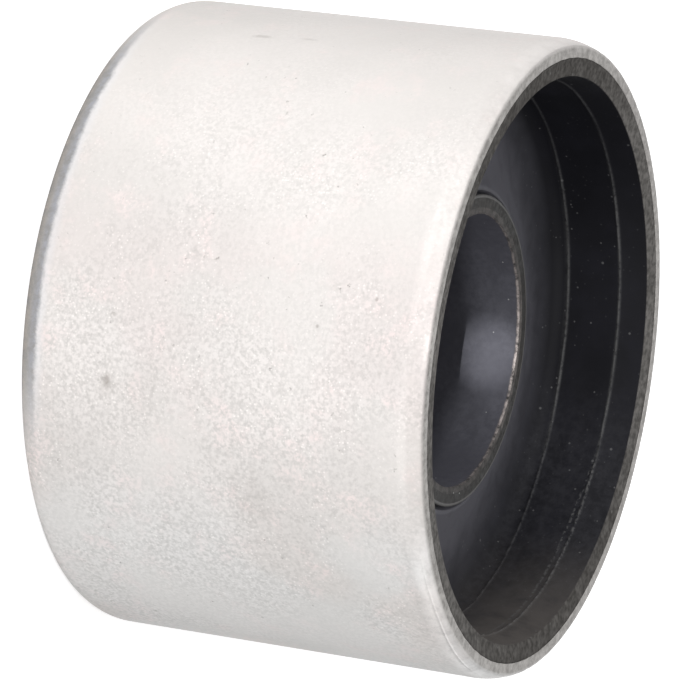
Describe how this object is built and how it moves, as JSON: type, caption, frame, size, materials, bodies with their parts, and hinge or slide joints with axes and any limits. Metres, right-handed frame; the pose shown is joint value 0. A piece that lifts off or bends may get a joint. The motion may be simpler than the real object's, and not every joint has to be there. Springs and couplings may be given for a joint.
{
  "type": "rubber-metal bush",
  "caption": "Round rubber-metal bush: rubber bonded between a steel outer tube and a shorter steel inner tube that sits recessed in it, with a through bore.",
  "frame": {"origin": "middle of the foot end, on the plane that the bush stands on", "axes": "+Z along the bush's axis, from the foot end to the open end; the bush is round, so +X and +Y are free"},
  "size_m": [0.06, 0.06, 0.0395],
  "materials": {
    "sleeve_metal": "pale satin steel, fine matt grain",
    "rubber": "moulded black rubber, soft sheen, dusty lip",
    "inner_metal": "dark satin steel"
  },
  "bodies": {
    "root": {"outer_sleeve": "sleeve_metal", "rubber_body": "rubber", "inner_sleeve": "inner_metal"}
  },
  "joints": []
}
